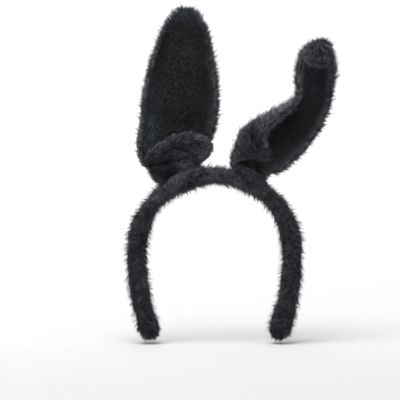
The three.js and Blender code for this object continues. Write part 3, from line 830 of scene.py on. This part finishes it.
def right_outer_shade(t, q):
    """The turned-back left rim: painted shade darkens its gathered end, painted light its upper edge."""
    turned = smoothstep(0, -0.5, q)
    # painted shade: darker at the gathered end and in the crease
    gathered = -0.26 * bump(t, 0.14, 0.07) - 1.2 * bump(t, 0.185, 0.022) * bump(q, -0.86, 0.08)
    # painted light: lighter along the upper edge
    lit = 0.42 * bump(t, 0.36, 0.12) + 0.14 * smoothstep(0.48, 0.56, t)
    # painted sheen: lighter towards the right rim
    facing = 0.24 * smoothstep(0.3, 0.7, q) * smoothstep(0.4, 0.6, t)
    # painted light: the hood near the tip is a little lighter
    return 0.74 + turned * (gathered + lit) + facing + 0.06 * smoothstep(0.8, 0.88, t)


INNER_SHADE = {"left": left_inner_shade, "right": right_inner_shade}
OUTER_SHADE = {"left": left_outer_shade, "right": right_outer_shade}


def ear_fur(name, ear, strands, split, base, fold):
    """Paints shade on the fur in the ear's crease, and makes its neck and its blade separate pieces."""
    lines, thickness, shade, row = strands
    if "crease" in ear:
        # painted shade: strands in the crease are painted darker
        shade = np.clip(shade - CREASE_PAINTED_SHADE * in_crease(lines, ear["crease"]), 0, LIGHTEST)
    low = row < split
    for chosen, part, settle in ((low, "neck", base), (~low, "blade", fold)):
        fur_pieces(f"{name}_{part}", lines[chosen], thickness[chosen], shade[chosen], settle)


def grow_panel_fur(name, ear, label, side, surface, split, base, fold):
    """The pile on one face of an ear, with longer guard hairs on the back."""
    look = INNER_LOOK if label == "front" else OUTER_LOOK
    rng = np.random.default_rng(SEED + 10 * len(label) + len(name))
    middle = ear_surface(ear, side, SCULPT[name], 0)
    grid = Grid(surface, ear_comb(ear), wrap=False)
    outward = ((surface - middle) * grid.normals).sum(-1)[:, EAR_COLUMNS // 2].mean()
    if outward < 0:
        grid.normals = -grid.normals
    roots, normals, combs, row, column = grid.scatter(PANEL_DENSITY, rng)
    lines, thickness, groups = grow(roots, normals, combs, rng, **look)
    high = row / (EAR_ROWS - 1)
    sideways = column / EAR_COLUMNS * 2 - 1
    if label == "front":
        base_shade, spread, clouds = INNER_SHADE[name](high, sideways), INSIDE_UNEVENNESS, INSIDE_CLOUDS
    else:
        base_shade, spread, clouds = OUTER_SHADE[name](high, sideways), 1.0, 0.0
    shade = shades(lines, rng, base_shade, groups, spread, seed=len(name) + side, clouds=clouds)
    strands = lines, thickness, shade, row
    if label == "back":
        strands = with_guard_hairs(grid, rng, strands, GUARD_SHADES["back"])
    ear_fur(f"{name}_ear_{label}_fur", ear, strands, split, base, fold)


def grow_rim_fur(name, ear, split, base, fold):
    """Longer fur that stands out all round the ear's edge, painted lighter as painted sheen."""
    rng = np.random.default_rng(SEED + 500 + len(name))
    surface = ear_surface(ear, 1, SCULPT[name], 0)
    _, _, up, _, _ = ear_frames(ear)
    parts = []
    for edge, beside in ((0, 2), (-1, -3)):
        line, inside = surface[:, edge], surface[:, beside]
        outward = unit(line - inside)
        strip = np.stack([inside, line], 1)
        normals = np.stack([outward, outward], 1)
        comb = unit(np.stack([up, up], 1) + normals * 0.35)
        grid = Grid(strip, comb, wrap=False)
        grid.normals = normals
        roots, normal, combs, row, _ = grid.scatter(RIM_DENSITY, rng)
        roots = roots + rng.normal(size=roots.shape) * RIM_SCATTER
        lines, thickness, groups = grow(roots, normal, combs, rng, **RIM_LOOK)
        # painted sheen: the rim's fur is painted lighter
        strands = lines, thickness, shades(lines, rng, RIM_SHADE, groups, seed=9), row
        parts.append(with_guard_hairs(grid, rng, strands, GUARD_SHADES["rim"], lay=GUARD_STANDING))
    both = [np.concatenate(values) for values in zip(*parts)]
    ear_fur(f"{name}_ear_rim_fur", ear, both, split, base, fold)


# ---- Rolls of fur gathered at the ears' bases: line, radius, how light, and which ear's base they settle with ----

ROLLS = {
    # painted light: the end, turning down into shade under the rim, is painted lighter
    "left_ear_base_roll": {
        "line": [(-58, -4, 16), (-54, -8, 22), (-46, -10, 28.5), (-37, -10.5, 34), (-28, -10.5, 37),
                 (-18, -10, 37.3), (-10.5, -9, 35), (-6.5, -8, 31), (-8, -7.5, 26), (-13, -6.5, 21.5),
                 (-18, -4, 18)],
        "radius": 3.4, "shade": 0.62, "end_shade": 0.94, "ear": "left",
    },
    "left_ear_inner_roll": {
        "line": [(-53, -4, 18), (-46, -8, 21.5), (-38, -9.5, 24), (-29, -10, 24.5), (-21, -9, 22),
                 (-14, -5, 18)],
        "radius": 3.0, "shade": 0.57, "ear": "left",
    },
    # painted light: the end, turning down into shade under the rim, is painted lighter
    "left_ear_tucked_fold": {
        "line": [(-50, -4, 22), (-42, -6.5, 27.5), (-33, -7.5, 30.5), (-24, -8, 31), (-16, -8.5, 29),
                 (-9, -8, 26.5)],
        "radius": 3.6, "shade": 0.62, "end_shade": 0.94, "ear": "left",
    },
    "left_ear_neck_gather": {
        "line": [(-40, -4, -7), (-34, -7, 0), (-27, -8, 6.5), (-19.5, -7.5, 10.5), (-12, -4, 11)],
        "radius": 4.4, "shade": 0.98, "ear": None,
    },
    # painted shade: the pad starts dark, as shade under the roll, and grows lighter to its end
    "left_ear_base_pad": {
        "line": [(-54, -3, 15.5), (-46, -6, 12.5), (-38, -7.5, 12.5), (-30, -8.5, 15.5), (-24, -8.5, 17.5),
                 (-19, -6, 17)],
        "radius": 4.4, "shade": 0.42, "end_shade": 0.8, "ear": "left",
    },
    "right_ear_neck_gather": {
        "line": [(15, -4, 12), (22, -7, 10.5), (30, -8, 6.5), (37, -7, 1), (42, -4, -6)],
        "radius": 3.6, "shade": 0.74, "ear": None,
    },
}


ROLL_SIDES = 20


def build_roll(name, roll, material):
    """A padded tube along the roll's line, pointed at its ends, with fur combed along it."""
    centre, up = smooth_line(roll["line"], 60)
    t = np.linspace(0, 1, len(centre))
    radius = roll["radius"] * np.sin(np.pi * np.clip(t * 0.94 + 0.03, 0, 1)) ** 0.4
    side = unit(np.cross(up, [0.0, -1.0, 0.0]))
    front = np.cross(side, up)
    circle = circles(side, front, ROLL_SIDES)
    rings = centre[:, None] + circle * radius[:, None, None]
    piece = tube(name, rings, material)
    settle = settle_base(roll["ear"]) if roll["ear"] else lambda fur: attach(fur, "crown")
    settle(piece)
    rng = np.random.default_rng(SEED + 77 + len(name))
    comb = unit(circle * 0.1 + up[:, None] * 0.95 + np.array([0.0, 0.0, 0.25]))
    grid = Grid(rings, comb, wrap=True, outward_from=centre[:, None])
    roots, normals, combs, row, _ = grid.scatter(ROLL_DENSITY, rng)
    lines, thickness, groups = grow(roots, normals, combs, rng, **ROLL_LOOK)
    # painted light and shade: a roll's tone runs from shade to end_shade along it
    towards_end = smoothstep(0.5, 0.75, row / len(centre))
    base_shade = mix(roll["shade"], roll.get("end_shade", roll["shade"]), towards_end)
    shade = shades(lines, rng, base_shade, groups, ROLL_UNEVENNESS, seed=3)
    fur_pieces(f"{name}_fur", lines, thickness, shade, settle)


# ---- Sleeve ----

SLEEVE_BACKING = (7.2, 4.2)  # half width across the band, half thickness
SLEEVE_BORE = (5.6, 1.9)
SHOULDER_SHIFT = 1.0  # how far the fabric stands off outward where the band starts to turn down
TUCK_LENGTH = 12.0
TIP_PILE = 3.0  # the backing stops this far short of the CAD sleeve's end
SLEEVE_ROWS = 120
SLEEVE_SIDES = 28
BORE_STOP = 14  # rows before the end at which the bore for the core stops


def sleeve_rings(s, half_width, half_thickness):
    centre, out = band_frame(s)
    turn = np.linspace(0, 2 * math.pi, SLEEVE_SIDES, endpoint=False)
    width = np.broadcast_to(half_width, s.shape)[:, None]
    thickness = np.broadcast_to(half_thickness, s.shape)[:, None]
    flat = np.zeros((len(s), SLEEVE_SIDES, 3))
    flat[..., 1] = width * np.cos(turn)
    centre = centre + out * (SHOULDER_SHIFT * bump(np.abs(s), 60, 19))[:, None]
    return centre[:, None] + flat + out[:, None] * (thickness * np.sin(turn))[..., None]


# Where the sleeve lies thicker (+) or thinner (-): places along the band in millimetres from the crown,
# how far the change spreads, and by what share.
BOTH_SIDES_SWELL = [(166, 12, 0.22), (57, 22, -0.26), (83, 12, 0.24)]
ONE_SIDE_SWELL = [(-23, 8, 0.3), (4, 11, -0.32), (36, 9, 0.2), (120, 35, 0.1), (164, 14, 0.12)]


def build_sleeve(name, material):
    """One side's sleeve, from the crown to the tuck, as a closed cloth shell round the core."""
    side = -1 if name == "left" else 1
    settle = settle_arm()
    end = BAND_END - TIP_PILE
    s = side * np.linspace(0, end, SLEEVE_ROWS)
    past = np.clip((np.abs(s) - (end - TUCK_LENGTH)) / TUCK_LENGTH, 0, 1)
    dome = np.sqrt(np.maximum(1 - past**2, 0.02))
    uneven = 1 + 0.05 * np.sin(np.abs(s) * 0.21 + side) + 0.04 * np.sin(np.abs(s) * 0.083 + 2 * side)
    uneven += sum(height * bump(np.abs(s), place, spread) for place, spread, height in BOTH_SIDES_SWELL)
    uneven += sum(height * bump(s, place, spread) for place, spread, height in ONE_SIDE_SWELL)
    outer = sleeve_rings(s, SLEEVE_BACKING[0] * dome, SLEEVE_BACKING[1] * dome * uneven)
    bore = sleeve_rings(s[:-BORE_STOP], *SLEEVE_BORE)
    piece = tube(f"{name}_sleeve_backing", np.concatenate([outer[::-1], bore]), material)
    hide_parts(f"{name}_arm_sleeve", f"{name}_end_tuck")
    if side < 0:
        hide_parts("crown_sleeve")
    settle(piece)
    grow_sleeve_fur(name, side, s, outer, settle)


def grow_sleeve_fur(name, side, s, outer, settle):
    """Fur combed down the limb, longer at the tuck; on the left it parts beside the crown."""
    rng = np.random.default_rng(SEED + 900 + side)
    centre, _ = band_frame(s)
    down = unit(np.gradient(centre, axis=0))
    radial = unit(outer - centre[:, None])
    swirl = drift(outer.reshape(-1, 3), 5 + side, 26).reshape(outer.shape[:2])[..., None]
    parting = 1 - 2 * smoothstep(-34, -10, s)[:, None, None] if side < 0 else 1.0
    along = down[:, None] * parting * (0.75 + 0.2 * swirl)
    forward = np.array([0.0, -0.3, 0.0]) * swirl
    comb = unit(along + radial * 0.35 + forward)
    grid = Grid(outer, comb, wrap=True, outward_from=centre[:, None])
    roots, normals, combs, row, _ = grid.scatter(SLEEVE_DENSITY, rng)
    share = row / len(s)
    length = 6.0 + 1.8 * smoothstep(0.9, 1.0, share)
    lines, thickness, groups = grow(roots, normals, combs, rng, length=length, **SLEEVE_LOOK)
    # painted light: lighter over the crown, which faces the light above; painted shade darker towards the
    # tips
    lit = 0.24 * (1 - smoothstep(0.15, 0.42, share)) - 0.12 * smoothstep(0.74, 0.98, share)
    shade = shades(lines, rng, SLEEVE_SHADE + lit, groups, SLEEVE_UNEVENNESS, seed=20 + side)
    strands = lines, thickness, shade, row
    strands = with_guard_hairs(grid, rng, strands, GUARD_SHADES["sleeve"], lay=GUARD_STANDING)
    fur_pieces(f"{name}_sleeve_fur", *strands[:3], settle)


# ---- CAD pieces that stay ----


def speckled_material(name, dark, light, scale, roughness, metallic=0.0):
    """A smooth solid with a fine grain between two tones."""
    material, shader = principled(name)
    two_tones(material, shader, scale, dark, light)
    set_inputs(shader, {"Roughness": roughness, "Metallic": metallic})
    return material


def repaint_cad():
    """Gives the CAD pieces that stay their finishes: core, wire, tape, and thread for the rest."""
    thread = fabric_material("black_thread", (0.006, 0.006, 0.007), (0.014, 0.014, 0.015), 2600, 0.0001)
    tape = fabric_material("cloth_tape", (0.012, 0.012, 0.013), (0.024, 0.024, 0.026), 1800, 0.0001)
    core = speckled_material("band_core_plastic", (0.008, 0.008, 0.009), (0.018, 0.018, 0.019), 900, 0.45)
    wire = speckled_material("annealed_wire", (0.16, 0.16, 0.165), (0.3, 0.3, 0.31), 1200, 0.4, 1.0)
    finishes = {"core": core, "wire": wire, "tape": tape}
    for node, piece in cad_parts.items():
        finish = thread
        for word, material in finishes.items():
            if word in node:
                finish = material
        for slot in piece.material_slots:
            slot.material = finish


# ---- Room, light and camera, in metres ----

FLOOR_DROP = 0.0042  # below the CAD model, where the longest hairs of the band's tips touch it
FLOOR_RADIUS = 2.6
WALL_BEND = 0.9
WALL_HEIGHT = 3.0
PAPER_REACH = 3.5
# How far behind the object, and how light the paper is there. The tones are painted shade, darkest
# on the floor just in front of the object.
PAPER_TONES = [(-2.6, 0.84), (-1.5, 0.66), (-0.8, 0.42), (-0.31, 0.405), (0, 0.475), (0.43, 0.475),
               (1.13, 0.53), (1.8, 0.66), (2.6, 0.85)]


def build_stage():
    """A round pale floor that turns up into a wall on all sides, with painted shade on the paper in front.
    """
    low = cad_box[0][2] - FLOOR_DROP
    steps, turns = 14, 72
    rise = [(FLOOR_RADIUS * share, low) for share in (0.05, 0.3, 0.6)]
    for i in range(steps + 1):
        angle = math.pi / 2 * i / steps
        rise.append((FLOOR_RADIUS + WALL_BEND * math.sin(angle), low + WALL_BEND * (1 - math.cos(angle))))
    rise.append((FLOOR_RADIUS + WALL_BEND, low + WALL_HEIGHT))
    points = [(0, 0, low)]
    for reach, height in rise:
        for turn in range(turns):
            angle = 2 * math.pi * turn / turns
            points.append((reach * math.sin(angle), reach * math.cos(angle), height))
    faces = [(0, 1 + (turn + 1) % turns, 1 + turn) for turn in range(turns)]
    faces += [tuple(1 + corner for corner in face) for face in ring_faces(len(rise), turns)]
    mesh = bpy.data.meshes.new("studio_bowl")
    mesh.from_pydata(points, [], faces)
    mesh.polygons.foreach_set("use_smooth", [True] * len(faces))
    mesh.materials.append(paper_material())
    add_object("studio_bowl", mesh)


def paper_material():
    material, shader = principled("pale_paper")
    nodes, links = material.node_tree.nodes, material.node_tree.links
    place = nodes.new("ShaderNodeTexCoord")
    split = nodes.new("ShaderNodeSeparateXYZ")
    depth = nodes.new("ShaderNodeMapRange")
    set_inputs(depth, {"From Min": -PAPER_REACH, "From Max": PAPER_REACH})
    # painted shade: the paper's tone by how far behind the object it lies
    ramp = nodes.new("ShaderNodeValToRGB")
    elements = ramp.color_ramp.elements
    shares = [(behind + PAPER_REACH) / (2 * PAPER_REACH) for behind, _ in PAPER_TONES]
    elements[0].position, elements[1].position = shares[0], shares[-1]
    for share in shares[1:-1]:
        elements.new(share)
    for element, (_, tone) in zip(elements, PAPER_TONES):
        element.color = (tone, tone * 1.005, tone * 1.01, 1)
    links.new(place.outputs["Object"], split.inputs["Vector"])
    links.new(split.outputs["Y"], depth.inputs["Value"])
    links.new(depth.outputs["Result"], ramp.inputs["Fac"])
    links.new(ramp.outputs["Color"], shader.inputs["Base Color"])
    shader.inputs["Roughness"].default_value = 0.8
    return material


def area_light(name, place, target, size, power):
    light = bpy.data.lights.new(name, "AREA")
    light.shape = "SQUARE"
    light.size = size
    light.energy = power
    lamp = add_object(name, light)
    lamp.location = place
    lamp.rotation_euler = (Vector(target) - Vector(place)).to_track_quat("-Z", "Y").to_euler()


def build_lights():
    world = bpy.data.worlds.new("white_room")
    world.use_nodes = True
    set_inputs(world.node_tree.nodes["Background"], {"Color": (1, 1, 1, 1), "Strength": 1.0})
    bpy.context.scene.world = world
    area_light("overhead_softbox", (-0.3, -0.55, 1.4), (0, 0, 0.02), 1.1, 38)
    area_light("backdrop_wash", (0, 0.6, 1.6), (0, 2.4, 0.9), 1.6, 30)


FIELD = 0.336  # width of the view at the object, in metres
SENSOR_WIDTH = 36
CAMERA_DISTANCE = 2.1
VIEW_CENTRE = (-0.0122, 0.0, -0.0134)
CAMERA_ELEVATION = 3.0


def build_camera():
    data = bpy.data.cameras.new("camera")
    data.sensor_width = SENSOR_WIDTH
    data.lens = SENSOR_WIDTH * CAMERA_DISTANCE / FIELD
    data.clip_end = 20
    camera = add_object("camera", data)
    elevation = math.radians(CAMERA_ELEVATION)
    offset = Vector((0, -math.cos(elevation), math.sin(elevation))) * CAMERA_DISTANCE
    camera.location = Vector(VIEW_CENTRE) + offset
    camera.rotation_euler = (-offset).to_track_quat("-Z", "Y").to_euler()
    bpy.context.scene.camera = camera


build_camera()
build_stage()
build_lights()
bpy.context.scene.view_settings.view_transform = "Standard"
backing = fabric_material("fur_backing", (0.004, 0.0043, 0.005), (0.012, 0.0125, 0.0135), 1500, 0.0003)
repaint_cad()
build_sleeve("left", backing)
build_sleeve("right", backing)
build_ear("left", backing)
build_ear("right", backing)
for roll_name, roll in ROLLS.items():
    build_roll(roll_name, roll, backing)
